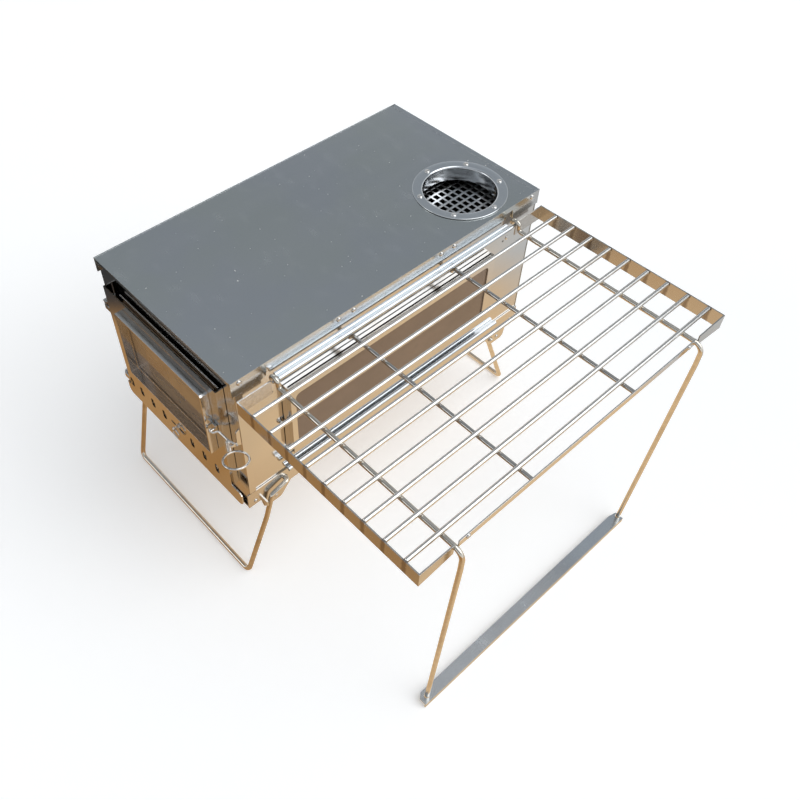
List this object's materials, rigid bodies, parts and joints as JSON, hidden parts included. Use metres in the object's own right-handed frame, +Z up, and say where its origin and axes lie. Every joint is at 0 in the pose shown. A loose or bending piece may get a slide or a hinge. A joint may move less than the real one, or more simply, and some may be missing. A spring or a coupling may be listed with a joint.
{
  "type": "folding wood stove with side rack",
  "caption": "Folding sheet-steel wood stove with glass door and side windows, flue socket, air slider, fold-under wire legs and a hook-on wire side rack.",
  "frame": {"origin": "bottom centre of the bounding box, on the ground", "axes": "+X from the stove towards its side rack, -Y out of the door, +Z up"},
  "size_m": [0.428, 0.3996, 0.2878],
  "materials": {
    "sheet_steel": "bright rolled stainless sheet",
    "sooted_steel": "dull heat-darkened steel",
    "wire_steel": "bright stainless wire",
    "fire_glass": "clear smoked heat-proof glass"
  },
  "bodies": {
    "stove_body": {"base_tray": "sheet_steel", "top_plate": "sheet_steel", "back_wall": "sheet_steel", "front_frame": "sheet_steel", "left_wall": "sheet_steel", "right_wall": "sheet_steel", "flue_collar": "sheet_steel", "spark_screen": "sooted_steel", "fire_grate": "sooted_steel", "left_window_frame": "sheet_steel", "right_window_frame": "sheet_steel", "left_window_glass": "fire_glass", "right_window_glass": "fire_glass", "left_upper_rail": "wire_steel", "right_upper_rail": "wire_steel", "left_lower_rail": "wire_steel", "right_lower_rail": "wire_steel", "latch_keeper": "sheet_steel"},
    "door": {"door_panel": "sheet_steel", "door_window_collar": "sheet_steel", "door_glass": "fire_glass", "door_glass_retainer": "sheet_steel", "door_hinge_pin_upper": "wire_steel", "door_hinge_pin_lower": "wire_steel", "latch_clip": "sheet_steel"},
    "air_slider": {"air_slider": "sheet_steel", "air_slider_stud": "wire_steel"},
    "slider_ring": {"air_slider_ring": "wire_steel"},
    "latch_handle": {"latch_handle": "wire_steel"},
    "front_leg": {"front_leg": "wire_steel"},
    "rear_leg": {"rear_leg": "wire_steel"},
    "side_rack": {"rack_leg_wire_front": "wire_steel", "rack_leg_wire_rear": "wire_steel", "rack_cross_rod_1": "wire_steel", "rack_cross_rod_2": "wire_steel", "rack_rod_1": "wire_steel", "rack_rod_2": "wire_steel", "rack_rod_3": "wire_steel", "rack_rod_4": "wire_steel", "rack_rod_5": "wire_steel", "rack_rod_6": "wire_steel", "rack_rod_7": "wire_steel", "rack_rod_8": "wire_steel", "rack_rod_9": "wire_steel", "rack_front_strip": "sheet_steel", "rack_rear_strip": "sheet_steel", "rack_outer_strip": "sheet_steel", "rack_foot_channel": "sheet_steel"},
    "left_window_button_front": {"left_window_button_front": "sheet_steel"},
    "left_window_button_rear": {"left_window_button_rear": "sheet_steel"},
    "right_window_button_front": {"right_window_button_front": "sheet_steel"},
    "right_window_button_rear": {"right_window_button_rear": "sheet_steel"}
  },
  "joints": [
    {"name": "door_hinge", "type": "hinge", "parent": "stove_body", "child": "door", "pos_m": [-0.19532, -0.17955, 0.187], "axis": [0, 0, 1], "range_deg": [-110, 0]},
    {"name": "air_slider_slide", "type": "slide", "parent": "door", "child": "air_slider", "axis": [1, 0, 0], "range_m": [-0.007, 0.008]},
    {"name": "slider_ring_swing", "type": "hinge", "parent": "air_slider", "child": "slider_ring", "pos_m": [-0.10232, -0.18665, 0.1412], "axis": [1, 0, 0], "range_deg": [-100, 10]},
    {"name": "latch_pivot", "type": "hinge", "parent": "door", "child": "latch_handle", "pos_m": [-0.02652, -0.18945, 0.2135], "axis": [0, -1, 0], "range_deg": [0, 12]},
    {"name": "front_leg_fold", "type": "hinge", "parent": "stove_body", "child": "front_leg", "pos_m": [-0.10232, -0.13505, 0.1195], "axis": [1, 0, 0], "range_deg": [0, 106]},
    {"name": "rear_leg_fold", "type": "hinge", "parent": "stove_body", "child": "rear_leg", "pos_m": [-0.10232, 0.15295, 0.1035], "axis": [-1, 0, 0], "range_deg": [0, 112]},
    {"name": "side_rack_fold", "type": "hinge", "parent": "stove_body", "child": "side_rack", "pos_m": [0.00528, 0.00495, 0.2678], "axis": [0, -1, 0], "range_deg": [0, 90]},
    {"name": "left_window_button_front_turn", "type": "hinge", "parent": "stove_body", "child": "left_window_button_front", "pos_m": [-0.20112, -0.13265, 0.199], "axis": [1, 0, 0], "range_deg": [0, 90]},
    {"name": "left_window_button_rear_turn", "type": "hinge", "parent": "stove_body", "child": "left_window_button_rear", "pos_m": [-0.20112, 0.13235, 0.199], "axis": [-1, 0, 0], "range_deg": [0, 90]},
    {"name": "right_window_button_front_turn", "type": "hinge", "parent": "stove_body", "child": "right_window_button_front", "pos_m": [-0.00352, -0.13265, 0.199], "axis": [1, 0, 0], "range_deg": [0, 90]},
    {"name": "right_window_button_rear_turn", "type": "hinge", "parent": "stove_body", "child": "right_window_button_rear", "pos_m": [-0.00352, 0.13235, 0.199], "axis": [-1, 0, 0], "range_deg": [0, 90]}
  ]
}
